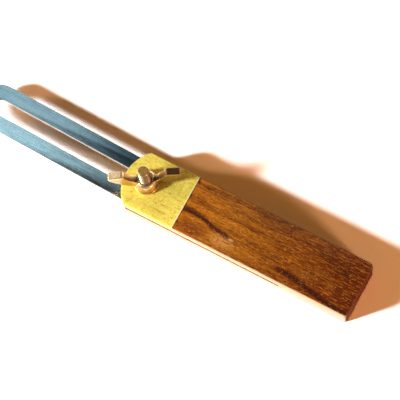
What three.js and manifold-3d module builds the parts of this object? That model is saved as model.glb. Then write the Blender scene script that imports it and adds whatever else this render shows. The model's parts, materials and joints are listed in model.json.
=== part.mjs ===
// A sliding bevel: a rosewood stock with brass face plates, a slotted steel blade that swings and slides
// in a saw kerf, and a bolt with a wing nut that clamps the blade at any angle and reach.
// Millimetres, +Z up. The tool lies on its lower face, z = 0 is that face, and the origin is the middle
// of the stock's underside. +X runs along the stock to its butt, and the blade leaves towards -X.
// The kerf is open along the -Y edge, which is the edge that the blade's tail swings out of.

import * as THREE from "three";
import { mergeVertices } from "three/addons/utils/BufferGeometryUtils.js";
import Module from "manifold-3d";

// Stock
const stock_length = 140.3;
const stock_width = 31.75;
const stock_thickness = 15.9;
const nose_radius = 21.6;
const butt_corner_radius = 2.2;
const edge_ease = 0.6;
const pivot_from_nose = 12.8;

// Blade
const blade_length = 177.8;
const blade_width = 25.4;
const blade_thickness = 1.6;
const blade_edge_ease = 0.15;
const blade_slot_width = 8.4;
const blade_slot_run = 110.7;
const blade_slot_margin = 14.1;
const blade_reach = 107.3;
const tail_mitre_deg = 45;
const rest_swing_deg = 1.75;
const rest_side_play = -0.4;

// Saw kerf in the stock
const kerf_clearance = 0.3;
const mouth_past_tail = 17.1;
const saw_radius = 50;
const spine_thickness = 2;
const swing_limit_deg = 120;
const stop_clearance = 0.4;

// Brass face plates, let in flush on both faces
const plate_length = 36.9;
const plate_thickness = 2.5;
const plate_joint_gap = 0.2;
const plate_bed_gap = 0.1;

// Brass pins that hold the plates, filed flush
const pin_diameter = 2.4;
const pin_wood_depth = 1.4;
const pin_clearance = 0.1;
const pin_row_shares = [0.3, 0.84];
const pin_side_share = 0.68;

// Pivot bolt
const bolt_diameter = 6.35;
const bolt_head_diameter = 12;
const bolt_head_lip = 0.4;
const bolt_head_recess = 0.1;
const bolt_rise = 20.6;
const bolt_end_chamfer = 0.55;
const bolt_clearance = 0.15;
const driver_slot_width = 1.2;
const driver_slot_depth = 1;

// Washer
const washer_diameter = 13.8;
const washer_thickness = 1.2;
const washer_edge_ease = 0.25;
const seat_gap = 0.05;

// Wing nut
const hub_base_diameter = 12.8;
const hub_top_diameter = 11;
const hub_height = 5.2;
const hub_edge_ease = 0.7;
const thread_clearance = 0.12;
const wing_span = 38.4;
const wing_rise = 15.6;
const wing_thickness = 4.1;
const wing_edge_ease = 0.7;
const wing_foot = 0.5;
const wing_turn_deg = 32;

// Making
const cut_overrun = 1;
const weld_distance = 0.0001;
const round_sides = 48;
const pin_sides = 20;
const outline_steps = 10;
const ease_steps = 3;

// Places that follow from the sizes above, with the pivot's axis at x = 0
const nose_x = -pivot_from_nose;
const butt_x = nose_x + stock_length;
const half_width = stock_width / 2;
const tail_from_pivot = blade_length - blade_reach;
const mouth_from_pivot = tail_from_pivot + mouth_past_tail;
const mid_plane = stock_thickness / 2;
const joint_x = nose_x + plate_length;
const bolt_radius = bolt_diameter / 2;
const bore_radius = bolt_radius + bolt_clearance;
const washer_floor = stock_thickness + seat_gap;
const nut_floor = washer_floor + washer_thickness + seat_gap;

const wasm = await Module();
wasm.setup();

// A closed geometry as a solid that can be joined and cut
function solidOf(geometry) {
  const bare = new THREE.BufferGeometry();
  bare.setAttribute("position", geometry.getAttribute("position"));
  if (geometry.index) bare.setIndex(geometry.index);
  const welded = mergeVertices(bare, weld_distance);
  const corners = welded.index.array;
  const triangles = [];
  for (let i = 0; i < corners.length; i += 3) {
    const [a, b, c] = [corners[i], corners[i + 1], corners[i + 2]];
    if (a !== b && b !== c && c !== a) triangles.push(a, b, c);
  }
  const mesh = new wasm.Mesh({
    numProp: 3,
    vertProperties: new Float32Array(welded.getAttribute("position").array),
    triVerts: new Uint32Array(triangles),
  });
  mesh.merge();
  return new wasm.Manifold(mesh);
}

// A solid as a named part with flat facets
function part(name, solid, material) {
  const cut = solid.getMesh();
  const geometry = new THREE.BufferGeometry();
  geometry.setAttribute("position", new THREE.BufferAttribute(cut.vertProperties, cut.numProp));
  geometry.setIndex(new THREE.BufferAttribute(cut.triVerts, 1));
  const faceted = geometry.toNonIndexed();
  faceted.computeVertexNormals();
  const mesh = new THREE.Mesh(faceted, material);
  mesh.name = name;
  return mesh;
}

// A turned solid on the z axis: the profile's points are (radius, height), and start and end on the axis
function turned(profile, sides) {
  const points = profile.map(([radius, height]) => new THREE.Vector2(radius, height));
  return solidOf(new THREE.LatheGeometry(points, sides).rotateX(Math.PI / 2));
}

// A plain round bar from one height to another
function bar(radius, low, high, sides = round_sides) {
  return turned([[0, low], [radius, low], [radius, high], [0, high]], sides);
}

// An outline in plan, raised from one height to another, with its edges eased
function raised(outline, low, high, ease = 0) {
  const geometry = new THREE.ExtrudeGeometry(outline, {
    depth: high - low - 2 * ease,
    curveSegments: outline_steps,
    bevelEnabled: ease > 0,
    bevelThickness: ease,
    bevelSize: ease,
    bevelOffset: -ease,
    bevelSegments: ease_steps,
  });
  return solidOf(geometry.translate(0, 0, low + ease));
}

// A box between two corners
function block([x0, y0, z0], [x1, y1, z1]) {
  const box = new THREE.BoxGeometry(x1 - x0, y1 - y0, z1 - z0);
  return solidOf(box.translate((x0 + x1) / 2, (y0 + y1) / 2, (z0 + z1) / 2));
}

// The stock's outline: parallel edges, a shallow round nose and eased corners at the butt
function stockOutline() {
  const nose_angle = Math.asin(half_width / nose_radius);
  const corner_x = butt_x - butt_corner_radius;
  const corner_y = half_width - butt_corner_radius;
  const outline = new THREE.Shape();
  outline.absarc(corner_x, -corner_y, butt_corner_radius, -Math.PI / 2, 0);
  outline.absarc(corner_x, corner_y, butt_corner_radius, 0, Math.PI / 2);
  outline.absarc(nose_x + nose_radius, 0, nose_radius, Math.PI - nose_angle, Math.PI + nose_angle);
  return outline;
}

// The kerf in plan. The saw ran in from the open edge, so its far end is the curve of the saw, and a thin
// spine is left along the back edge. Near the nose it passes right through, up to the line where the
// blade's edge stops at the end of its swing.
function kerfOutline() {
  const spine_y = half_width - spine_thickness;
  const saw_y = spine_y - saw_radius;
  const saw_x = mouth_from_pivot - Math.sqrt(saw_radius ** 2 - (-half_width - saw_y) ** 2);
  const mouth_y = -half_width - cut_overrun;
  const back_y = half_width + cut_overrun;
  const open_x = nose_x - cut_overrun;
  const swing = THREE.MathUtils.degToRad(swing_limit_deg);
  const edge = blade_width / 2 + stop_clearance;
  const stop_x = (y) => edge * Math.sin(swing) - (y - edge * Math.cos(swing)) / Math.tan(swing);
  const outline = new THREE.Shape();
  outline.absarc(saw_x, saw_y, saw_radius, Math.asin((mouth_y - saw_y) / saw_radius), Math.PI / 2);
  outline.lineTo(stop_x(spine_y), spine_y);
  outline.lineTo(stop_x(back_y), back_y);
  outline.lineTo(open_x, back_y);
  outline.lineTo(open_x, mouth_y);
  return outline;
}

// The places of the pins in one plate
function pinPlaces() {
  const places = [];
  for (const share of pin_row_shares) {
    for (const side of [-1, 1]) places.push([nose_x + share * plate_length, side * pin_side_share * half_width]);
  }
  return places;
}

// The pins of a plate, or the holes for them, on the upper face
function pinBar([x, y], clearance) {
  const top = clearance > 0 ? stock_thickness + cut_overrun : stock_thickness;
  const bottom = stock_thickness - plate_thickness - pin_wood_depth - clearance;
  return bar(pin_diameter / 2 + clearance, bottom, top, pin_sides).translate([x, y, 0]);
}

// A solid of the upper face, turned over to the lower face
function turnedOver(solid) {
  return solid.translate([0, 0, -mid_plane]).rotate([180, 0, 0]).translate([0, 0, mid_plane]);
}

// The room for the bolt: a bore through everything, and a countersink for its head in the lower face
function boltRoom() {
  const head_radius = bolt_head_diameter / 2 + bolt_clearance;
  const lip = bolt_head_recess + bolt_head_lip;
  const room = turned([
    [0, -cut_overrun],
    [head_radius, -cut_overrun],
    [head_radius, lip],
    [bore_radius, lip + head_radius - bore_radius],
    [bore_radius, stock_thickness + cut_overrun],
    [0, stock_thickness + cut_overrun],
  ], round_sides);
  return room;
}

// The stock and its two plates are cut from one envelope, so that they are flush all round
function stockParts(wood, brass) {
  const envelope = raised(stockOutline(), 0, stock_thickness, edge_ease);
  const out_x = nose_x - cut_overrun;
  const out_y = half_width + cut_overrun;
  const top = stock_thickness + cut_overrun;
  const bed = stock_thickness - plate_thickness;
  const plate_block = block([out_x, -out_y, bed], [joint_x - plate_joint_gap, out_y, top]);
  const rebate = block([out_x, -out_y, bed - plate_bed_gap], [joint_x, out_y, top]);
  const kerf_half = blade_thickness / 2 + kerf_clearance;
  const kerf = raised(kerfOutline(), mid_plane - kerf_half, mid_plane + kerf_half);
  const room = boltRoom();
  const places = pinPlaces();

  let upper = envelope.intersect(plate_block).subtract(room);
  let lower = envelope.intersect(turnedOver(plate_block)).subtract(room);
  let body = envelope.subtract(rebate).subtract(turnedOver(rebate)).subtract(kerf).subtract(room);
  for (const place of places) {
    const hole = pinBar(place, pin_clearance);
    upper = upper.subtract(hole);
    lower = lower.subtract(turnedOver(hole));
    body = body.subtract(hole).subtract(turnedOver(hole));
  }
  const pins = places.flatMap((place, i) => [
    part(`upper_plate_pin_${i + 1}`, pinBar(place, 0), brass),
    part(`lower_plate_pin_${i + 1}`, turnedOver(pinBar(place, 0)), brass),
  ]);
  return [part("stock", body, wood), part("upper_face_plate", upper, brass), part("lower_face_plate", lower, brass),
    ...pins];
}

// The blade lies along -x from the pivot: a half-round tip, a long slot that starts a little further from
// the tip than the tip's own radius, and a mitred tail whose long corner is on the stock's open side. Its
// slot is wider than the bolt, and at rest the blade lies a little to one side of it.
function bladeOutline() {
  const half = blade_width / 2;
  const tip_x = -blade_reach + half;
  const slot_x = -blade_reach + blade_slot_margin;
  const mitre = blade_width / Math.tan(THREE.MathUtils.degToRad(tail_mitre_deg));
  const outline = new THREE.Shape();
  outline.absarc(tip_x, 0, half, Math.PI / 2, (3 * Math.PI) / 2);
  outline.lineTo(tail_from_pivot, -half);
  outline.lineTo(tail_from_pivot - mitre, half);
  const slot = new THREE.Path();
  slot.absarc(slot_x, 0, blade_slot_width / 2, Math.PI / 2, (3 * Math.PI) / 2);
  slot.absarc(slot_x + blade_slot_run, 0, blade_slot_width / 2, -Math.PI / 2, Math.PI / 2);
  outline.holes.push(slot);
  return outline;
}

function bladePart(steel) {
  const low = mid_plane - blade_thickness / 2;
  const solid = raised(bladeOutline(), low, low + blade_thickness, blade_edge_ease);
  const blade = part("blade", solid.translate([0, rest_side_play, 0]), steel);
  blade.rotation.z = THREE.MathUtils.degToRad(-rest_swing_deg);
  return blade;
}

// The bolt: a countersunk head with a driver slot below, a straight shank, and a chamfered end above
function boltPart(brass) {
  const head_radius = bolt_head_diameter / 2;
  const lip = bolt_head_recess + bolt_head_lip;
  const end = stock_thickness + bolt_rise;
  const shank = turned([
    [0, bolt_head_recess],
    [head_radius, bolt_head_recess],
    [head_radius, lip],
    [bolt_radius, lip + head_radius - bolt_radius],
    [bolt_radius, end - bolt_end_chamfer],
    [bolt_radius - bolt_end_chamfer, end],
    [0, end],
  ], round_sides);
  const reach = head_radius + cut_overrun;
  const half_slot = driver_slot_width / 2;
  const slot = block([-reach, -half_slot, bolt_head_recess - cut_overrun],
    [reach, half_slot, bolt_head_recess + driver_slot_depth]);
  return part("pivot_bolt", shank.subtract(slot), brass);
}

function washerPart(brass) {
  const radius = washer_diameter / 2;
  const top = washer_floor + washer_thickness;
  const disc = turned([
    [0, washer_floor],
    [radius, washer_floor],
    [radius, top - washer_edge_ease],
    [radius - washer_edge_ease, top],
    [0, top],
  ], round_sides);
  return part("washer", disc.subtract(bar(bore_radius, washer_floor - cut_overrun, top + cut_overrun)), brass);
}

// One wing, side on: x is the distance from the axis and y the height above the hub's foot. The lower edge
// sweeps up and out to the ear, whose end is blunt and whose top is flat, and a steep straight shoulder comes
// back down to a fillet on the hub.
function wingOutline() {
  const reach = wing_span / 2;
  const foot_x = hub_base_diameter / 2 - hub_edge_ease;
  const root_x = bolt_radius + thread_clearance + wing_foot;
  const outline = new THREE.Shape();
  outline.moveTo(root_x, wing_foot);
  outline.lineTo(foot_x, wing_foot);
  outline.quadraticCurveTo(0.66 * reach, 0.13 * wing_rise, 0.94 * reach, 0.68 * wing_rise);
  outline.quadraticCurveTo(reach, 0.8 * wing_rise, reach, 0.88 * wing_rise);
  outline.quadraticCurveTo(reach, wing_rise, 0.93 * reach, wing_rise);
  outline.lineTo(0.63 * reach, wing_rise);
  outline.quadraticCurveTo(0.59 * reach, wing_rise, 0.57 * reach, 0.94 * wing_rise);
  outline.lineTo(0.43 * reach, 0.46 * wing_rise);
  outline.quadraticCurveTo(0.38 * reach, 0.31 * wing_rise, root_x, hub_height - wing_foot);
  return outline;
}

// The nut: a low tapered hub with two tall wings, cast in one and tapped for the bolt
function wingNutPart(brass) {
  const base_radius = hub_base_diameter / 2;
  const top_radius = hub_top_diameter / 2;
  const hub = turned([
    [0, 0],
    [base_radius, 0],
    [base_radius, hub_edge_ease],
    [top_radius, hub_height - hub_edge_ease],
    [top_radius - hub_edge_ease, hub_height],
    [0, hub_height],
  ], round_sides);
  const wing = raised(wingOutline(), -wing_thickness / 2, wing_thickness / 2, wing_edge_ease).rotate([90, 0, 0]);
  const bore = bar(bolt_radius + thread_clearance, -cut_overrun, hub_height + cut_overrun);
  const nut = part("wing_nut", hub.add(wing).add(wing.rotate([0, 0, 180])).subtract(bore), brass);
  nut.position.z = nut_floor;
  nut.rotation.z = THREE.MathUtils.degToRad(wing_turn_deg);
  return nut;
}

const rosewood = new THREE.MeshStandardMaterial({ color: 0x8a4a18, roughness: 0.42, metalness: 0 });
const plate_brass = new THREE.MeshStandardMaterial({ color: 0xe0bb4e, roughness: 0.38, metalness: 1 });
const cast_brass = new THREE.MeshStandardMaterial({ color: 0xc9954f, roughness: 0.3, metalness: 1 });
const bolt_brass = new THREE.MeshStandardMaterial({ color: 0xb89a5a, roughness: 0.35, metalness: 1 });
const blued_steel = new THREE.MeshStandardMaterial({ color: 0x6f8a99, roughness: 0.32, metalness: 1 });

const bevel = new THREE.Group();
bevel.position.x = -(nose_x + butt_x) / 2;
bevel.add(
  ...stockParts(rosewood, plate_brass),
  bladePart(blued_steel),
  boltPart(bolt_brass),
  washerPart(plate_brass),
  wingNutPart(cast_brass),
);

const sliding_bevel = new THREE.Group();
sliding_bevel.add(bevel);

export default sliding_bevel;
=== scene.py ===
# A sliding bevel lying on a white bench: a rosewood stock with brass face plates, a slotted steel blade,
# and a bolt whose wing nut clamps the blade. Metres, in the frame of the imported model. Places inside the
# finishes are millimetres in the same frame.

import json
import math

import bmesh
import bpy
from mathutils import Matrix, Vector


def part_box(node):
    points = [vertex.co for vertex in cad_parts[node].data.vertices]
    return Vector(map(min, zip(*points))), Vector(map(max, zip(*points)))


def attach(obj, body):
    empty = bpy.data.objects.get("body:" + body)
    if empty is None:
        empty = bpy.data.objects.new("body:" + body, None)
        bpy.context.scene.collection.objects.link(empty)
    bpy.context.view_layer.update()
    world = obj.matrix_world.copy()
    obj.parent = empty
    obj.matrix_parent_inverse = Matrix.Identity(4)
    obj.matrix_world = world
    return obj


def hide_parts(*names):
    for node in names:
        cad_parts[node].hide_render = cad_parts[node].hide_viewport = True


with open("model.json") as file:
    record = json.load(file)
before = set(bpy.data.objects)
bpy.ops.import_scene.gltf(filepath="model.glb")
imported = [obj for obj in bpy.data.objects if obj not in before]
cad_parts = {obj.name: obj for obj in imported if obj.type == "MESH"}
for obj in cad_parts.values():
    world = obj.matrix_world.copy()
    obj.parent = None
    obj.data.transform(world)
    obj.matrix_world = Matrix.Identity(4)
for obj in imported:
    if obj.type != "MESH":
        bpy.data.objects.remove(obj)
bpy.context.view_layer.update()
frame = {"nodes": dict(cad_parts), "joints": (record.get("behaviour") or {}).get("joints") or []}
nodes = frame["nodes"]
mm = 0.001
pivot = Vector(frame["joints"][0]["pos_m"])


# The stock is one block of rosewood, planed and oiled. Its colour runs from orange brown at the plates to
# dark red brown at the butt, with fine open pores along the grain, a dark streak through a small knot, and
# edges worn smooth. The kerf is sawn in from the -Y edge. The face towards -Y has a painted paler sheen,
# and the walls of the kerf are painted dark, as shade.

def linear(red, green, blue):
    """A colour given as it is seen on a screen, 0 to 255, as the shader's own numbers."""
    channels = [c / 255 for c in (red, green, blue)]
    return (*[c / 12.92 if c < 0.04045 else ((c + 0.055) / 1.055) ** 2.4 for c in channels], 1)


def set_all(tree, node, inputs):
    """Sets or links a node's own inputs."""
    for key, value in inputs.items():
        if isinstance(value, bpy.types.NodeSocket):
            tree.links.new(value, node.inputs[key])
        else:
            node.inputs[key].default_value = value


def add(tree, kind, inputs=None, **settings):
    """A shader node with its settings and its inputs."""
    made = tree.nodes.new("ShaderNode" + kind)
    for key, value in settings.items():
        setattr(made, key, value)
    set_all(tree, made, inputs or {})
    return made


def calc(tree, operation, *values):
    """One step of arithmetic."""
    return add(tree, "Math", dict(enumerate(values)), operation=operation).outputs[0]


def vector(tree, operation, *values):
    """One step of arithmetic on vectors."""
    return add(tree, "VectorMath", dict(enumerate(values)), operation=operation).outputs[0]


def measured(tree, operation, *values):
    """The length of a vector or the product of two, as one number."""
    return add(tree, "VectorMath", dict(enumerate(values)), operation=operation).outputs["Value"]


def split(tree, whole):
    """The x, y and z of a vector."""
    return add(tree, "SeparateXYZ", {0: whole}).outputs


def joined(tree, *parts):
    """A vector from its x, its y and its z, which are 0 where they aren't given."""
    return add(tree, "CombineXYZ", dict(enumerate(parts))).outputs[0]


def facing(tree):
    """Which way a surface faces, as the x, y and z of its normal."""
    return split(tree, add(tree, "NewGeometry").outputs["True Normal"])


def apart(tree, value, middle):
    """How far a value is from a middle one."""
    return calc(tree, "ABSOLUTE", calc(tree, "SUBTRACT", value, middle))


def between(tree, amount, at_zero, at_one):
    """A value that goes from one number to another with a mask."""
    return calc(tree, "MULTIPLY_ADD", amount, at_one - at_zero, at_zero)


def mask(tree, value, at_zero, at_one):
    """0 on one side of a value and 1 on the other, with a soft step between."""
    inputs = {0: value, 1: at_zero, 2: at_one}
    return add(tree, "MapRange", inputs, interpolation_type="SMOOTHSTEP").outputs[0]


def rim(tree, value, face, start, full):
    """0 away from a face and 1 close to it. The mask starts and is full so far in from the face."""
    return mask(tree, value, face - start, face - full)


def part_of(tree, amount, share):
    """A mask at part of its strength, or where another mask lets it show."""
    return calc(tree, "MULTIPLY", amount, share)


def mixed(tree, amount, below, above):
    """One colour laid over another. The node's colours are its inputs 6 and 7 and its output 2."""
    return add(tree, "Mix", {0: amount, 6: below, 7: above}, data_type="RGBA").outputs[2]


def tinted(tree, colour, amount, share, shade):
    """A shade, given as it is seen on a screen, laid over a colour by a mask at part of its strength."""
    return mixed(tree, part_of(tree, amount, share), colour, linear(*shade))


def cloud(tree, place, scale, detail=3.0, rough=0.55):
    """Noise from 0 to 1, drawn out along the axis with the small scale."""
    drawn = vector(tree, "MULTIPLY", place, scale)
    inputs = {"Vector": drawn, "Scale": 1.0, "Detail": detail, "Roughness": rough}
    return add(tree, "TexNoise", inputs).outputs[0]


def near(tree, place, centre, size):
    """1 at a place seen from above and 0 beyond a size round it, both given along x and y."""
    off = vector(tree, "SUBTRACT", place, (*centre, 0))
    shares = vector(tree, "MULTIPLY", off, (1 / size[0], 1 / size[1], 0))
    return mask(tree, measured(tree, "LENGTH", shares), 1.0, 0.2)


def bump(tree, height, strength, distance):
    """A normal from a height."""
    return add(tree, "Bump", {"Height": height, "Strength": strength, "Distance": distance}).outputs[0]


def blank_finish(name):
    """A new material, its shader, and its place in millimetres on the body that it is fixed to."""
    material = bpy.data.materials.new(name)
    material.use_nodes = True
    tree = material.node_tree
    place = vector(tree, "MULTIPLY", add(tree, "TexCoord").outputs["Object"], (1 / mm, 1 / mm, 1 / mm))
    return material, tree, tree.nodes["Principled BSDF"], place


def smooth_shading(angle):
    """Geometry nodes that shade all edges smooth under an angle in degrees, and keep the rest sharp."""
    name = f"smooth_under_{angle}"
    if name in bpy.data.node_groups:
        return bpy.data.node_groups[name]
    group = bpy.data.node_groups.new(name, "GeometryNodeTree")
    for way in ("INPUT", "OUTPUT"):
        group.interface.new_socket("Geometry", in_out=way, socket_type="NodeSocketGeometry")
    start = group.nodes.new("NodeGroupInput")
    bare = group.nodes.new("GeometryNodeRemoveAttribute")
    bare.inputs["Name"].default_value = "custom_normal"
    faces = group.nodes.new("GeometryNodeSetShadeSmooth")
    faces.inputs["Shade Smooth"].default_value = True
    edge = group.nodes.new("GeometryNodeInputMeshEdgeAngle")
    sharp = group.nodes.new("FunctionNodeCompare")
    sharp.operation = "GREATER_THAN"
    sharp.inputs[1].default_value = math.radians(angle)
    edges = group.nodes.new("GeometryNodeSetShadeSmooth")
    edges.domain = "EDGE"
    edges.inputs["Shade Smooth"].default_value = False
    end = group.nodes.new("NodeGroupOutput")
    link = group.links.new
    link(start.outputs[0], bare.inputs["Geometry"])
    link(bare.outputs[0], faces.inputs["Geometry"])
    link(faces.outputs[0], edges.inputs["Geometry"])
    link(edge.outputs["Unsigned Angle"], sharp.inputs[0])
    link(sharp.outputs[0], edges.inputs["Selection"])
    link(edges.outputs[0], end.inputs[0])
    return group


weld_distance = 0.001 * mm
eased_over_degrees = 40


def rounded_edges(piece, angle, ease=0.0):
    """Welds a piece's faces, takes a hair off its sharp edges, and shades it smooth but for those."""
    weld = piece.modifiers.new("weld", "WELD")
    weld.merge_threshold = weld_distance
    if ease:
        bevel = piece.modifiers.new("ease", "BEVEL")
        bevel.width = ease
        bevel.segments = 2
        bevel.limit_method = "ANGLE"
        bevel.angle_limit = math.radians(eased_over_degrees)
        bevel.use_clamp_overlap = True
    smooth = piece.modifiers.new("smooth", "NODES")
    smooth.node_group = smooth_shading(angle)


def dress(name, material, ease=0.0):
    """A node of the frame gets its finish and its smooth shading."""
    piece = nodes[name]
    piece.data.materials.clear()
    piece.data.materials.append(material)
    rounded_edges(piece, angle=20, ease=ease)


stock_high = Vector(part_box("stock")[1]) / mm
plate_end = Vector(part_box("upper_face_plate")[1]).x / mm
joint_gap = 0.2
kerf_half = 1.1

# The wood's tones, each with its share of the way from the plates to the butt
wood_tones = [(0.0, (192, 112, 16)), (0.25, (176, 110, 24)), (0.6, (136, 72, 10)), (1.0, (98, 28, 2))]

# The middle line of the dark streak, along x and y, and how far across the stock a line can be drawn
streak_path = [(-34.0, -2.9), (-22.0, -3.3), (-12.8, -5.7), (-3.9, -6.8), (16.0, -8.6), (40.0, -10.8),
               (54.0, -13.6), (71.0, -15.2)]
streak_depth = 20.0
streak_wander = 1.2

# The middle of the stretch where the streak is faint, and how far off it starts to show and is full again
faint_middle = 11.0
faint_from = 11.0
faint_to = 17.0

# Places on the upper face, each with its centre and its size along x and y
knot = ((-2.6, -7.4), (2.2, 1.2))
knot_halo = ((-7.0, -10.6), (10.0, 5.0))
joint_shade = ((-25.0, -11.0), (15.0, 7.0))
dark_places = [((48.0, 8.0), (10.0, 4.0)), ((59.0, 5.0), (9.0, 5.0)), ((14.0, 14.0), (26.0, 5.0))]
pale_places = [((40.0, -6.0), (9.0, 3.0)), ((47.0, -1.5), (8.0, 2.5))]

# The least and the most that the wood is chipped at the joint, and where the wear at an edge starts and is
# full, in from the face
chip_depths = (0.25, 1.75)
wear_at_sides = (0.75, 0.25)
wear_at_butt = (0.8, 0.3)
wear_at_faces = (0.8, 0.25)


def tone_along(tree, x):
    """The wood's tone from the plates to the butt."""
    way = add(tree, "MapRange", {0: x, 1: plate_end, 2: stock_high.x}).outputs[0]
    tone = add(tree, "ValToRGB", {0: way})
    stops = tone.color_ramp.elements
    while len(stops) < len(wood_tones):
        stops.new(0.5)
    for stop, (share, shade) in zip(stops, wood_tones):
        stop.position = share
        stop.color = linear(*shade)
    return tone.outputs[0]


def streak_mask(tree, place, fibres):
    """The dark streak. It winds along the grain, its fibres feather it, and it is faint for a stretch."""
    x, y = split(tree, place)[:2]
    start, end = streak_path[0][0], streak_path[-1][0]
    middle = add(tree, "FloatCurve", {1: add(tree, "MapRange", {0: x, 1: start, 2: end}).outputs[0]})
    line = middle.mapping.curves[0]
    while len(line.points) < len(streak_path):
        line.points.new(0.5, 0.5)
    for point, (along, across) in zip(line.points, streak_path):
        point.location = ((along - start) / (end - start), -across / streak_depth)
    middle.mapping.update()
    wander = between(tree, cloud(tree, place, (0.09, 0.2, 0.2)), -streak_wander, streak_wander)
    off = calc(tree, "MULTIPLY_ADD", middle.outputs[0], streak_depth, calc(tree, "ADD", y, wander))
    feathered = calc(tree, "MULTIPLY_ADD", fibres, 3.0, calc(tree, "ABSOLUTE", off))
    shown = mask(tree, apart(tree, x, faint_middle), faint_from, faint_to)
    return part_of(tree, mask(tree, feathered, 3.9, 2.0), between(tree, shown, 0.12, 0.92))


def rosewood():
    material, tree, shader, place = blank_finish("oiled_rosewood")
    x, y, z = split(tree, place)
    facing_x, facing_y, facing_z = facing(tree)
    waves = vector(tree, "MULTIPLY", cloud(tree, place, (0.05, 0.12, 0.12)), (3, 3, 3))
    grain = vector(tree, "ADD", place, waves)

    colour = tone_along(tree, x)
    bands = mask(tree, cloud(tree, grain, (0.014, 0.3, 0.3), 2.0), 0.42, 0.66)
    colour = tinted(tree, colour, bands, 0.6, (96, 40, 10))
    fibres = cloud(tree, grain, (0.15, 2.0, 2.0), 5.0, 0.7)
    colour = tinted(tree, colour, mask(tree, fibres, 0.5, 0.68), 0.8, (58, 18, 4))
    colour = tinted(tree, colour, mask(tree, fibres, 0.49, 0.36), 0.6, (214, 140, 40))
    colour = tinted(tree, colour, streak_mask(tree, place, fibres), 1.0, (58, 14, 8))

    flecks = mask(tree, cloud(tree, place, (1.1, 1.5, 1.5), 2.0), 0.4, 0.55)
    halo = part_of(tree, near(tree, place, *knot_halo), flecks)
    colour = tinted(tree, colour, halo, 0.75, (206, 150, 84))
    colour = tinted(tree, colour, near(tree, place, *knot), 0.75, (214, 168, 110))
    colour = tinted(tree, colour, near(tree, place, *joint_shade), 0.65, (96, 36, 10))
    for centre, size in dark_places:
        colour = tinted(tree, colour, near(tree, place, centre, size), 0.5, (58, 18, 8))
    for centre, size in pale_places:
        colour = tinted(tree, colour, near(tree, place, centre, size), 0.4, (150, 96, 30))

    pores = mask(tree, cloud(tree, grain, (0.38, 3.4, 3.4), 1.0), 0.6, 0.68)
    colour = tinted(tree, colour, pores, 0.8, (44, 14, 5))
    glints = mask(tree, cloud(tree, grain, (0.7, 2.2, 2.2), 2.0), 0.62, 0.72)
    colour = tinted(tree, colour, glints, 0.7, (226, 168, 96))

    end = mask(tree, calc(tree, "ABSOLUTE", facing_x), 0.6, 0.8)
    year_rings = mask(tree, cloud(tree, place, (0.3, 0.25, 1.6), 2.0), 0.35, 0.65)
    end_grain = mixed(tree, year_rings, linear(150, 74, 22), linear(110, 50, 14))
    end_pores = mask(tree, cloud(tree, place, (0.6, 3.2, 3.2), 2.0), 0.52, 0.66)
    end_grain = tinted(tree, end_grain, end_pores, 1.0, (46, 18, 8))
    colour = mixed(tree, end, colour, end_grain)

    chips = mask(tree, cloud(tree, place, (0.0, 0.34, 0.2), 1.0), 0.52, 0.66)
    past_joint = calc(tree, "SUBTRACT", x, plate_end + joint_gap / 2)
    notches = mask(tree, calc(tree, "SUBTRACT", past_joint, between(tree, chips, *chip_depths)), 0.12, -0.1)
    notches = part_of(tree, notches, mask(tree, calc(tree, "ABSOLUTE", facing_z), 0.6, 0.8))
    colour = tinted(tree, colour, notches, 0.7, (40, 14, 8))

    half_thick = stock_high.z / 2
    from_middle = apart(tree, z, half_thick)
    worn_y = rim(tree, calc(tree, "ABSOLUTE", y), stock_high.y, *wear_at_sides)
    worn_x = rim(tree, x, stock_high.x, *wear_at_butt)
    worn_z = rim(tree, from_middle, half_thick, *wear_at_faces)
    worn = part_of(tree, calc(tree, "MAXIMUM", worn_y, worn_x), worn_z)
    worn = part_of(tree, worn, mask(tree, cloud(tree, place, (0.3, 0.8, 0.8)), 0.3, 0.6))
    colour = tinted(tree, colour, worn, 0.3, (180, 116, 56))
    # Painted sheen: the face towards -Y is made paler and given more coat.
    painted_front_sheen = mask(tree, facing_y, -0.6, -0.8)
    colour = tinted(tree, colour, painted_front_sheen, 0.42, (218, 184, 132))
    # Painted shade: the walls inside the kerf are made dark.
    in_kerf = mask(tree, from_middle, kerf_half + 0.1, kerf_half - 0.1)
    painted_kerf_shade = part_of(tree, in_kerf, mask(tree, calc(tree, "ABSOLUTE", facing_z), 0.5, 0.7))
    colour = tinted(tree, colour, painted_kerf_shade, 1.0, (40, 16, 8))

    hollow = calc(tree, "MAXIMUM", pores, notches)
    dull = calc(tree, "MAXIMUM", calc(tree, "MAXIMUM", hollow, end), part_of(tree, worn_y, worn_z))
    set_all(tree, shader, {
        "Base Color": colour,
        "Roughness": between(tree, dull, 0.42, 0.82),
        "Normal": bump(tree, calc(tree, "SUBTRACT", part_of(tree, fibres, 0.3), hollow), 0.4, 0.1 * mm),
        "Coat Weight": calc(tree, "MULTIPLY_ADD", dull, -0.5, between(tree, painted_front_sheen, 0.5, 0.95)),
        "Specular IOR Level": 0.15,
        "Coat Roughness": 0.2,
    })
    return material


dress("stock", rosewood())


# The face plates are sheet brass, 2.5 mm thick, let in flush on both faces. They were rubbed down along
# their length with the wood, which left fine lines. Their edges at the joint carry a painted highlight, and
# they have gone dull where a thumb rests, between the nose and the open edge.

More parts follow.
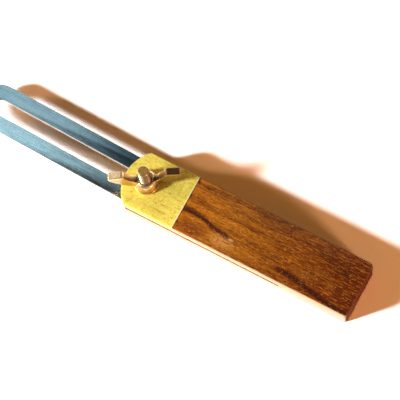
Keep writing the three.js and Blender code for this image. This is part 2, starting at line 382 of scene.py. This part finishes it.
def rubbed_lines_effect():
    """Pricks, stains, and fine lines from rubbing down, drawn out along the axis with the small scale."""
    group = bpy.data.node_groups.new("rubbed_lines", "ShaderNodeTree")
    for title in ("Place", "Scale"):
        group.interface.new_socket(title, in_out="INPUT", socket_type="NodeSocketVector")
    for title in ("Lines", "Pricks", "Stain"):
        group.interface.new_socket(title, in_out="OUTPUT", socket_type="NodeSocketFloat")
    given = group.nodes.new("NodeGroupInput").outputs
    lines = cloud(group, given["Place"], given["Scale"], 4.0, 0.65)
    pricks = cloud(group, given["Place"], (1.3, 1.5, 1.5), 1.0)
    stain = cloud(group, given["Place"], (0.1, 0.16, 0.16))
    set_all(group, group.nodes.new("NodeGroupOutput"), {
        "Lines": mask(group, lines, 0.3, 0.7),
        "Pricks": mask(group, pricks, 0.68, 0.75),
        "Stain": mask(group, stain, 0.42, 0.72),
    })
    return group


rubbed_lines = rubbed_lines_effect()


def rubbed(tree, place, scale):
    """The lines, pricks and stains of one piece."""
    return add(tree, "Group", {"Place": place, "Scale": scale}, node_tree=rubbed_lines).outputs


plate_ease = 0.12 * mm

# A dent on the upper plate, with its centre and its size along x and y, and where the painted highlight on
# the edge at the joint starts and is full, in from the joint
dent = ((-43.3, 0.2), (0.9, 0.7))
painted_edge_highlight = (0.85, 0.45)


def sheet_brass():
    material, tree, shader, place = blank_finish("rubbed_sheet_brass")
    x, y = split(tree, place)[:2]
    marks = rubbed(tree, place, (0.1, 2.4, 2.4))
    colour = mixed(tree, marks["Lines"], linear(230, 204, 66), linear(254, 244, 108))
    grit = mask(tree, cloud(tree, place, (0.9, 1.6, 1.6), 2.0, 0.7), 0.4, 0.58)
    colour = tinted(tree, colour, grit, 0.75, (255, 250, 118))
    pits = mask(tree, cloud(tree, place, (0.7, 1.8, 1.8), 2.0, 0.7), 0.52, 0.66)
    colour = tinted(tree, colour, pits, 0.75, (188, 152, 42))
    colour = tinted(tree, colour, marks["Stain"], 0.4, (226, 200, 82))
    colour = tinted(tree, colour, marks["Pricks"], 0.55, (150, 110, 34))
    handled = mask(tree, calc(tree, "ADD", x, y), -48.0, -64.0)
    colour = tinted(tree, colour, handled, 0.3, (190, 172, 56))
    colour = tinted(tree, colour, near(tree, place, *dent), 0.7, (120, 88, 30))
    # Painted highlight along the edge at the joint.
    colour = tinted(tree, colour, rim(tree, x, plate_end, *painted_edge_highlight), 1.0, (255, 244, 170))
    slant = measured(tree, "DOT_PRODUCT", place, (0.5, 0.87, 0))
    scratches = cloud(tree, joined(tree, part_of(tree, x, 0.02), slant), (1, 1.8, 1), 1.0)
    colour = tinted(tree, colour, mask(tree, scratches, 0.735, 0.76), 0.5, (255, 240, 160))
    set_all(tree, shader, {
        "Base Color": colour,
        "Metallic": 0.3,
        "Roughness": between(tree, marks["Lines"], 0.52, 0.67),
        "Normal": bump(tree, calc(tree, "SUBTRACT", marks["Lines"], marks["Pricks"]), 0.3, 0.08 * mm),
    })
    return material


plate_brass = sheet_brass()
dress("upper_face_plate", plate_brass, plate_ease)
dress("lower_face_plate", plate_brass, plate_ease)


# Each plate is held by four brass pins, driven into the wood, hammered to fill their holes and filed flush.
# The hammer has spread their heads a little.

def new_object(name, points, faces):
    """A mesh object from its points and faces."""
    mesh = bpy.data.meshes.new(name)
    mesh.from_pydata(points, [], faces)
    made = bpy.data.objects.new(name, mesh)
    bpy.context.scene.collection.objects.link(made)
    return made


def turned(name, rings, sides):
    """A round closed piece from rings up the z axis: a height and a radius, or a radius for each side."""
    points = []
    for height, radius in rings:
        for side in range(sides):
            turn = 2 * math.pi * side / sides
            reach = radius[side] if isinstance(radius, list) else radius
            points.append((reach * math.cos(turn), reach * math.sin(turn), height))
    faces = []
    for ring in range(len(rings) - 1):
        for side in range(sides):
            low, after = ring * sides, (side + 1) % sides
            faces.append((low + side, low + after, low + sides + after, low + sides + side))
    faces.append(tuple(reversed(range(sides))))
    faces.append(tuple(range(len(points) - sides, len(points))))
    return new_object(name, points, faces)


def place_at(piece, x, y, z=0.0):
    """Moves a piece's own mesh, so that its object stays at the origin."""
    for vertex in piece.data.vertices:
        vertex.co += Vector((x, y, z))


def stands_for(piece, node, body, material, angle):
    """A piece made here takes the place of a node of the frame, with its body, finish and shading."""
    piece.data.materials.append(material)
    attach(piece, body)
    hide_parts(node)
    rounded_edges(piece, angle)


def pin_wire():
    material, tree, shader, place = blank_finish("pin_wire_brass")
    marks = rubbed(tree, place, (0.1, 2.4, 2.4))
    colour = mixed(tree, marks["Lines"], linear(232, 208, 80), linear(254, 244, 126))
    colour = tinted(tree, colour, marks["Pricks"], 0.5, (150, 110, 40))
    set_all(tree, shader, {
        "Base Color": colour,
        "Metallic": 0.3,
        "Roughness": between(tree, marks["Lines"], 0.52, 0.67),
        "Normal": bump(tree, marks["Lines"], 0.25, 0.08 * mm),
    })
    return material


pin_brass = pin_wire()
pin_sides = 32
pin_point = 0.2 * mm
head_spread = 0.09 * mm
head_rise = 0.3 * mm
head_taper = 0.2 * mm
head_ease = 0.03 * mm


def filed_pin(name):
    """One pin, with its head at the upper face or, for the lower plate, at the lower one."""
    low, high = [Vector(corner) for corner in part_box(name)]
    radius = (high.x - low.x) / 2
    spread = radius + head_spread
    rings = [(low.z, radius - pin_point), (low.z + pin_point, radius),
             (high.z - head_rise - head_taper, radius), (high.z - head_rise, spread),
             (high.z - head_ease, spread), (high.z, spread - head_ease)]
    if name.startswith("lower"):
        rings = [(low.z + high.z - height, reach) for height, reach in reversed(rings)]
    pin = turned(f"filed_{name}", rings, pin_sides)
    place_at(pin, (low.x + high.x) / 2, (low.y + high.y) / 2)
    stands_for(pin, name, "stock", pin_brass, angle=25)


for face in ("upper", "lower"):
    for number in (1, 2, 3, 4):
        filed_pin(f"{face}_plate_pin_{number}")


# The blade is spring steel, 1.6 mm thick, blued by heat and rubbed along its length. Its edges and the
# walls of its slot are ground bare, and the bluing is worn pale towards the tip. The back arm is painted
# darker, as shade.

blade_turn = math.radians(1.75)
blade_side = -0.4
half_blade = 12.7
half_slot = 4.2

# Where the middle lines of the blade and of its slot start and end, from the pivot towards the tip
past_tail = -100.0
tip_centre = 94.6
slot_from = -17.5
slot_to = 93.2

# Where the bluing starts to darken towards the pivot, and where it is darkest
pale_until = 60.0
dark_from = 12.0


def from_pivot(tree, place):
    """A place measured from the bolt's axis."""
    return vector(tree, "ADD", place, (-pivot.x / mm, 0, 0))


def off_line(tree, along, across, low, high):
    """How far a place is from the part of the blade's middle line that runs from low to high."""
    past = calc(tree, "MAXIMUM", calc(tree, "SUBTRACT", low, along), calc(tree, "SUBTRACT", along, high))
    return measured(tree, "LENGTH", joined(tree, calc(tree, "MAXIMUM", past, 0.0), across))


def blued_steel():
    material, tree, shader, place = blank_finish("blued_spring_steel")
    own = from_pivot(tree, place)
    along = measured(tree, "DOT_PRODUCT", own, (-math.cos(blade_turn), math.sin(blade_turn), 0))
    sideways = measured(tree, "DOT_PRODUCT", own, (math.sin(blade_turn), math.cos(blade_turn), 0))
    sideways = calc(tree, "SUBTRACT", sideways, blade_side)
    across = calc(tree, "ABSOLUTE", sideways)

    marks = rubbed(tree, place, (0.13, 1.9, 1.9))
    colour = mixed(tree, marks["Lines"], linear(158, 208, 224), linear(200, 240, 252))
    streaks = cloud(tree, joined(tree, along, across), (0.03, 0.5, 1))
    colour = tinted(tree, colour, mask(tree, streaks, 0.48, 0.7), 0.4, (120, 156, 178))
    colour = tinted(tree, colour, marks["Stain"], 0.35, (130, 162, 170))
    colour = tinted(tree, colour, marks["Pricks"], 0.5, (60, 74, 84))
    # The back arm is painted darker, as shade; the darkening towards the pivot is the bluing's own.
    back_arm_painted_shade = part_of(tree, mask(tree, sideways, -2.0, 2.0), 0.85)
    tarnish_and_painted_shade = calc(tree, "MULTIPLY_ADD", mask(tree, along, pale_until, dark_from), 0.9, back_arm_painted_shade)
    colour = tinted(tree, colour, tarnish_and_painted_shade, 0.58, (76, 106, 120))

    wobble = part_of(tree, cloud(tree, place, (0.25, 0.6, 0.6)), 0.35)
    outer = calc(tree, "ADD", off_line(tree, along, across, past_tail, tip_centre), wobble)
    inner = calc(tree, "SUBTRACT", off_line(tree, along, across, slot_from, slot_to), wobble)
    rubbed_bare = calc(tree, "MAXIMUM", mask(tree, outer, half_blade - 0.12, half_blade + 0.02),
                       mask(tree, inner, half_slot + 0.16, half_slot))
    wall = mask(tree, calc(tree, "ABSOLUTE", facing(tree)[2]), 0.8, 0.5)
    bare = calc(tree, "MAXIMUM", wall, part_of(tree, rubbed_bare, 0.8))
    colour = tinted(tree, colour, bare, 1.0, (236, 232, 224))
    set_all(tree, shader, {
        "Base Color": colour,
        "Metallic": between(tree, bare, 1.0, 0.85),
        "Roughness": calc(tree, "MULTIPLY_ADD", bare, 0.2, between(tree, marks["Lines"], 0.2, 0.3)),
        "Normal": bump(tree, calc(tree, "SUBTRACT", marks["Lines"], marks["Pricks"]), 0.22, 0.05 * mm),
    })
    return material


dress("blade", blued_steel())


# The pivot bolt is turned brass with a rolled 1/4 in coarse thread. Its countersunk head with a driver slot
# lies in the lower plate, and its cropped end stands well above the nut. The roots of its thread and its side
# away from the daylight are painted dark, as shade.

bolt_low, bolt_high = [Vector(corner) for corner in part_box("pivot_bolt")]
bolt_radius = 3.175 * mm
bolt_sides = 48
head_radius = 6.0 * mm
head_lip = 0.4 * mm
driver_reach = 7 * mm
driver_half = 0.6 * mm
driver_depth = 1 * mm
overrun = 1 * mm
thread_start = 17.4 * mm
thread_end = bolt_high.z - 0.8 * mm
thread_pitch = 1.27 * mm
thread_depth = 0.68 * mm

# The thread's shape: its steps in one turn, how steep its flanks are, how much of a pitch its crest takes,
# and the part of a turn in which it runs in
thread_steps = 10
flank_slope = 2.77
crest_share = 0.22
run_in_share = 0.6

# The rings of the cropped end, down from the top
bolt_end = [(0.55 * mm, 3.1 * mm), (0.3 * mm, 2.95 * mm), (0.0, 2.6 * mm)]


def about_bolt(tree, place):
    """The x of a place measured from the bolt's axis, its height, and its distance from the axis."""
    x, y, z = split(tree, from_pivot(tree, place))
    return x, z, measured(tree, "LENGTH", joined(tree, x, y))


def turned_brass():
    material, tree, shader, place = blank_finish("turned_bolt_brass")
    x, z, radius = about_bolt(tree, place)
    tool_rings = cloud(tree, joined(tree, radius, z), (3.0, 3.0, 1.0))
    marks = rubbed(tree, place, (0.9, 0.9, 0.9))
    colour = mixed(tree, mask(tree, tool_rings, 0.3, 0.7), linear(206, 180, 130), linear(240, 222, 182))
    colour = tinted(tree, colour, marks["Stain"], 0.6, (160, 132, 84))
    upright = mask(tree, calc(tree, "ABSOLUTE", facing(tree)[2]), 0.95, 0.8)
    # Painted shade: the roots of the thread are made dark.
    painted_thread_root_shade = part_of(tree, mask(tree, radius, 3.0, 2.7), upright)
    colour = tinted(tree, colour, painted_thread_root_shade, 0.65, (92, 62, 30))
    # Painted shade: the side of the bolt away from the daylight is made dark.
    painted_side_shade = part_of(tree, mask(tree, x, 0.4, 2.0), upright)
    colour = tinted(tree, colour, painted_side_shade, 0.7, (116, 76, 32))
    top = rim(tree, z, bolt_high.z / mm, 0.2, 0.1)
    cropped = part_of(tree, top, mask(tree, radius, 2.7, 2.5))
    colour = tinted(tree, colour, cropped, 1.0, (156, 128, 68))
    colour = tinted(tree, colour, marks["Pricks"], 0.5, (90, 64, 32))
    set_all(tree, shader, {
        "Base Color": colour,
        "Metallic": between(tree, cropped, 0.95, 0.3),
        "Roughness": between(tree, marks["Lines"], 0.22, 0.36),
        "Normal": bump(tree, tool_rings, 0.25, 0.06 * mm),
    })
    return material


def thread_radius(height, side):
    """The radius of the rolled thread at a height, for one side of the bolt."""
    turns = (height - thread_start) / thread_pitch
    place = (turns - side / bolt_sides) % 1.0
    dip = min(1.0, max(0.0, flank_slope * abs(place - 0.5) - crest_share))
    fade = min(1.0, max(0.0, turns / run_in_share))
    return bolt_radius - thread_depth * dip * fade


def bolt_rings():
    """The bolt from below: a countersunk head, a plain shank, the thread and the cropped end."""
    cone_top = bolt_low.z + head_lip + head_radius - bolt_radius
    rings = [(bolt_low.z, head_radius), (bolt_low.z + head_lip, head_radius), (cone_top, bolt_radius),
             (thread_start, bolt_radius)]
    height = thread_start
    while height < thread_end:
        height += thread_pitch / thread_steps
        rings.append((height, [thread_radius(height, side) for side in range(bolt_sides)]))
    return rings + [(bolt_high.z - down, radius) for down, radius in bolt_end]


def driver_slot():
    """A box that cuts the driver slot into the bolt's head."""
    lengths = (-driver_reach, driver_reach)
    widths = (-driver_half, driver_half)
    heights = (-overrun, bolt_low.z + driver_depth)
    corners = [(x, y, z) for z in heights for y in widths for x in lengths]
    faces = [(0, 2, 3, 1), (4, 5, 7, 6), (0, 1, 5, 4), (2, 6, 7, 3), (0, 4, 6, 2), (1, 3, 7, 5)]
    return new_object("driver_slot", corners, faces)


def made_solid(piece):
    """Applies a piece's modifiers to its mesh."""
    bpy.context.view_layer.update()
    seen = piece.evaluated_get(bpy.context.evaluated_depsgraph_get())
    mesh = bpy.data.meshes.new_from_object(seen)
    piece.modifiers.clear()
    piece.data = mesh


def cut_away(piece, cutter):
    """Cuts one object out of a piece, and removes it."""
    cut = piece.modifiers.new("cut", "BOOLEAN")
    cut.object = cutter
    cut.solver = "EXACT"
    made_solid(piece)
    bpy.data.objects.remove(cutter)


bolt = turned("threaded_pivot_bolt", bolt_rings(), bolt_sides)
cut_away(bolt, driver_slot())
place_at(bolt, pivot.x, pivot.y)
stands_for(bolt, "pivot_bolt", "pivot_bolt", turned_brass(), angle=28)


# The washer is turned brass, polished by the nut that turns on it. Only its rim shows from under the nut.

washer_ease = 0.08 * mm


def washer_finish():
    material, tree, shader, place = blank_finish("polished_washer_brass")
    z, radius = about_bolt(tree, place)[1:]
    tool_rings = cloud(tree, joined(tree, radius, z), (4.0, 4.0, 1.0))
    marks = rubbed(tree, place, (0.8, 0.8, 0.8))
    colour = mixed(tree, mask(tree, tool_rings, 0.3, 0.7), linear(206, 160, 84), linear(236, 200, 124))
    colour = tinted(tree, colour, marks["Stain"], 0.6, (150, 104, 52))
    set_all(tree, shader, {
        "Base Color": colour,
        "Metallic": 0.95,
        "Roughness": between(tree, marks["Lines"], 0.24, 0.38),
        "Normal": bump(tree, tool_rings, 0.3, 0.06 * mm),
    })
    return material


dress("washer", washer_finish(), washer_ease)


# The wing nut is cast brass with a pinkish tint, fettled by hand, so that its wings run into its hub
# without a corner, and polished by the fingers on its ears. Grime has gathered round its hub. The front face
# of its right wing is painted dark as shade, and the top of its right ear dark as a painted reflection.

nut_low, nut_high = [Vector(corner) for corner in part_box("wing_nut")]
nut_rise = nut_high.z - nut_low.z
hub_sides = 64
hub_rise = 5.2 * mm
wing_turn = math.radians(32)
wing_half = 2.05 * mm
wing_reach = 19.2 * mm
wing_root = 3.9 * mm
wing_start = 6.0 * mm
wing_foot = 0.4 * mm
tap_radius = 3.3 * mm
tap_sides = 48
skin_size = 0.26 * mm

# The hub's rings up from its foot
hub_rings = [(0.0, 6.2 * mm), (0.4 * mm, 6.4 * mm), (2.2 * mm, 6.2 * mm), (3.5 * mm, 5.75 * mm),
             (4.5 * mm, 5.1 * mm), (hub_rise, 4.3 * mm)]


def cast_brass():
    material, tree, shader, place = blank_finish("cast_nut_brass")
    x, z, radius = about_bolt(tree, place)
    wing_side = (-math.sin(wing_turn), math.cos(wing_turn), 0)
    across = measured(tree, "DOT_PRODUCT", from_pivot(tree, place), wing_side)
    marks = rubbed(tree, place, (0.7, 0.7, 0.9))
    colour = mixed(tree, marks["Lines"], linear(222, 190, 138), linear(246, 222, 178))
    grime = part_of(tree, mask(tree, radius, 9.5, 5.5), mask(tree, z, 26.0, 20.0))
    grime = part_of(tree, grime, mask(tree, cloud(tree, place, (0.35, 0.35, 0.35)), 0.35, 0.6))
    colour = tinted(tree, colour, grime, 0.55, (150, 92, 44))
    under_ears = mask(tree, z, 31.5, 30.5)
    toned = part_of(tree, mask(tree, radius, 6.5, 9.0), under_ears)
    colour = tinted(tree, colour, toned, 0.6, (180, 110, 40))
    # Painted shade: the front face of the right wing is made dark.
    painted_flank_shade = part_of(tree, mask(tree, across, -1.5, -1.8), under_ears)
    painted_flank_shade = part_of(tree, painted_flank_shade, mask(tree, x, 5.0, 7.5))
    colour = tinted(tree, colour, painted_flank_shade, 0.8, (100, 66, 26))
    # Painted dark reflection on the top of the right ear.
    painted_dark_right_ear = part_of(tree, mask(tree, x, 8.0, 10.0), mask(tree, z, 31.2, 31.9))
    colour = tinted(tree, colour, painted_dark_right_ear, 0.75, (112, 52, 18))
    colour = tinted(tree, colour, marks["Stain"], 0.35, (196, 132, 78))
    colour = tinted(tree, colour, marks["Pricks"], 0.5, (110, 66, 32))
    set_all(tree, shader, {
        "Base Color": colour,
        "Metallic": 1.0,
        "Roughness": between(tree, under_ears, 0.21, 0.27),
        "Normal": bump(tree, cloud(tree, place, (0.9, 0.9, 0.9)), 0.35, 0.18 * mm),
    })
    return material


def arched(start, pull, end, steps=8):
    """Points on a curve from a start to an end, drawn towards a third point."""
    points = []
    for step in range(steps + 1):
        t = step / steps
        points.append([(1 - t) ** 2 * a + 2 * t * (1 - t) * b + t * t * c
                       for a, b, c in zip(start, pull, end)])
    return points


def on_wing(out_share, up_share):
    """A point of a wing seen side on, as shares of its reach and of its rise."""
    return out_share * wing_reach, up_share * nut_rise


def wing_outline():
    """A wing seen side on, out from the axis and up: its lower edge, its blunt ear, and its inner slope."""
    outline = [(wing_root, wing_foot)]
    outline += arched((wing_start, wing_foot), on_wing(0.66, 0.13), on_wing(0.94, 0.68))
    outline += arched(on_wing(0.98, 0.76), on_wing(1, 0.84), on_wing(1, 0.9), 3)
    outline += arched(on_wing(1, 0.91), on_wing(1, 0.97), on_wing(0.93, 0.96), 4)
    outline += arched(on_wing(0.62, 1), on_wing(0.6, 1), on_wing(0.59, 0.97), 3)
    outline += arched(on_wing(0.57, 0.93), on_wing(0.4, 0.5), (wing_root, hub_rise - wing_foot))
    return outline


def add_wing(form, turn):
    """Adds one wing to the nut's mesh, turned round the axis."""
    outline = wing_outline()
    cos, sin = math.cos(turn), math.sin(turn)
    ends = []
    for side in (-wing_half, wing_half):
        corners = [(out * cos - side * sin, out * sin + side * cos, up) for out, up in outline]
        ends.append([form.verts.new(corner) for corner in corners])
    form.faces.new(ends[0])
    form.faces.new(list(reversed(ends[1])))
    for at in range(len(outline)):
        after = (at + 1) % len(outline)
        form.faces.new([ends[0][after], ends[0][at], ends[1][at], ends[1][after]])


def cast_nut():
    """The hub and both wings, melted together into one skin and smoothed, and then tapped for the bolt."""
    nut = turned("cast_wing_nut", hub_rings, hub_sides)
    form = bmesh.new()
    form.from_mesh(nut.data)
    for turn in (wing_turn, wing_turn + math.pi):
        add_wing(form, turn)
    bmesh.ops.recalc_face_normals(form, faces=form.faces)
    form.to_mesh(nut.data)
    form.free()
    skin = nut.modifiers.new("skin", "REMESH")
    skin.mode = "VOXEL"
    skin.voxel_size = skin_size
    fettle = nut.modifiers.new("fettle", "SMOOTH")
    fettle.factor = 0.5
    fettle.iterations = 4
    made_solid(nut)
    cut_away(nut, turned("tap", [(-overrun, tap_radius), (hub_rise + 2 * overrun, tap_radius)], tap_sides))
    return nut


nut = cast_nut()
place_at(nut, pivot.x, pivot.y, nut_low.z)
stands_for(nut, "wing_nut", "wing_nut", cast_brass(), angle=40)


# The bench is a plain white sheet that runs out of sight. The camera sees it brighter than it lights the
# tool, so that it is white and still holds the shadow.

def blank_tree(owner):
    """The empty node tree of a new material or world."""
    owner.use_nodes = True
    owner.node_tree.nodes.clear()
    return owner.node_tree


def level_sheet(name, low, high, height, material):
    """A level rectangle between two corners, which isn't part of the tool."""
    corners = [(low[0], low[1]), (high[0], low[1]), (high[0], high[1]), (low[0], high[1])]
    sheet = new_object(name, [(*corner, height) for corner in corners], [(0, 1, 2, 3)])
    sheet.data.materials.append(material)


def white_paper():
    """Dim where light comes off it twice, bright where the metal mirrors it, and white for the camera."""
    material = bpy.data.materials.new("white_bench")
    tree = blank_tree(material)
    ray = add(tree, "LightPath").outputs
    first = calc(tree, "LESS_THAN", ray["Ray Depth"], 1.5)
    shade = mixed(tree, first, (0.12, 0.12, 0.12, 1), (0.8, 0.79, 0.77, 1))
    shade = mixed(tree, part_of(tree, first, ray["Is Glossy Ray"]), shade, (1.7, 1.65, 1.55, 1))
    shade = mixed(tree, ray["Is Camera Ray"], shade, (3.0, 3.0, 3.0, 1))
    add(tree, "OutputMaterial", {"Surface": add(tree, "BsdfDiffuse", {"Color": shade}).outputs[0]})
    return material


bench_reach = 6.0
level_sheet("bench", (-bench_reach, -bench_reach), (bench_reach, bench_reach), 0.0, white_paper())


# Soft daylight comes in low from beyond the tip and the open edge, and two warm windows glow lower still,
# past the butt and past the tip. A bright sheet overhead is seen only by the metal, and the room is dim and
# warm, with a pale low sky for the metal and white for the camera.

def far_light(name, energy, colour, width, azimuth, elevation):
    """A distant lamp, seen as a disc so many degrees wide, that shines towards an azimuth in the xy plane."""
    lamp = bpy.data.lights.new(name, "SUN")
    lamp.energy = energy
    lamp.color = colour
    lamp.angle = math.radians(width)
    lamp_object = bpy.data.objects.new(name, lamp)
    bpy.context.scene.collection.objects.link(lamp_object)
    turn, fall = math.radians(azimuth), math.radians(elevation)
    towards = Vector((math.cos(turn) * math.cos(fall), math.sin(turn) * math.cos(fall), -math.sin(fall)))
    lamp_object.rotation_mode = "QUATERNION"
    lamp_object.rotation_quaternion = towards.to_track_quat("-Z", "Y")


far_light("daylight", energy=6.2, colour=(1, 1, 1), width=12, azimuth=42.8, elevation=25.5)
far_light("window_past_the_butt", energy=1.35, colour=(1, 0.44, 0.2), width=10, azimuth=161.9, elevation=13.5)
far_light("window_past_the_tip", energy=1.05, colour=(1, 0.48, 0.23), width=6, azimuth=19, elevation=14.2)

sheet_low = (-1.9, -0.8)
sheet_high = (-0.3, 1.2)
sheet_height = 1.0
sheet_fade = 0.16


def overhead_glow():
    """Light that only mirrored rays see, fading out at the edge over the tool."""
    material = bpy.data.materials.new("overhead_glow")
    tree = blank_tree(material)
    x = split(tree, add(tree, "TexCoord").outputs["Object"])[0]
    strength = part_of(tree, mask(tree, x, sheet_high[0], sheet_high[0] - sheet_fade), 1.1)
    light = add(tree, "Emission", {"Color": (1, 1, 1, 1), "Strength": strength}).outputs[0]
    clear = add(tree, "BsdfTransparent").outputs[0]
    mirrored = add(tree, "LightPath").outputs["Is Glossy Ray"]
    shown = add(tree, "MixShader", {0: mirrored, 1: clear, 2: light}).outputs[0]
    add(tree, "OutputMaterial", {"Surface": shown})
    return material


level_sheet("overhead_sheet", sheet_low, sheet_high, sheet_height, overhead_glow())

world = bpy.data.worlds.new("room")
bpy.context.scene.world = world
world_tree = blank_tree(world)
world_ray = add(world_tree, "LightPath").outputs
world_up = split(world_tree, add(world_tree, "TexCoord").outputs["Generated"])[2]
low_sky = part_of(world_tree, world_ray["Is Glossy Ray"], mask(world_tree, world_up, 0.96, 0.86))
room_colour = mixed(world_tree, low_sky, (0.09, 0.034, 0.0065, 1), (0.42, 0.41, 0.39, 1))
room = add(world_tree, "Background", {"Color": room_colour, "Strength": 1.0}).outputs[0]
white = add(world_tree, "Background", {"Color": (1, 1, 1, 1), "Strength": 1.0}).outputs[0]
backdrop = add(world_tree, "MixShader", {0: world_ray["Is Camera Ray"], 1: room, 2: white}).outputs[0]
add(world_tree, "OutputWorld", {"Surface": backdrop})


# The camera looks down from over the butt, as in the picture.

camera_place = (0.17894, -0.23039, 1.02824)
camera_turn_degrees = (16.7432, 3.8718, 28.6466)

camera = bpy.data.cameras.new("camera")
camera.lens = 180
camera.sensor_width = 36
camera.clip_end = 20
camera_object = bpy.data.objects.new("camera", camera)
bpy.context.scene.collection.objects.link(camera_object)
camera_object.location = camera_place
camera_object.rotation_euler = [math.radians(angle) for angle in camera_turn_degrees]
bpy.context.scene.camera = camera_object
bpy.context.scene.view_settings.view_transform = "Standard"
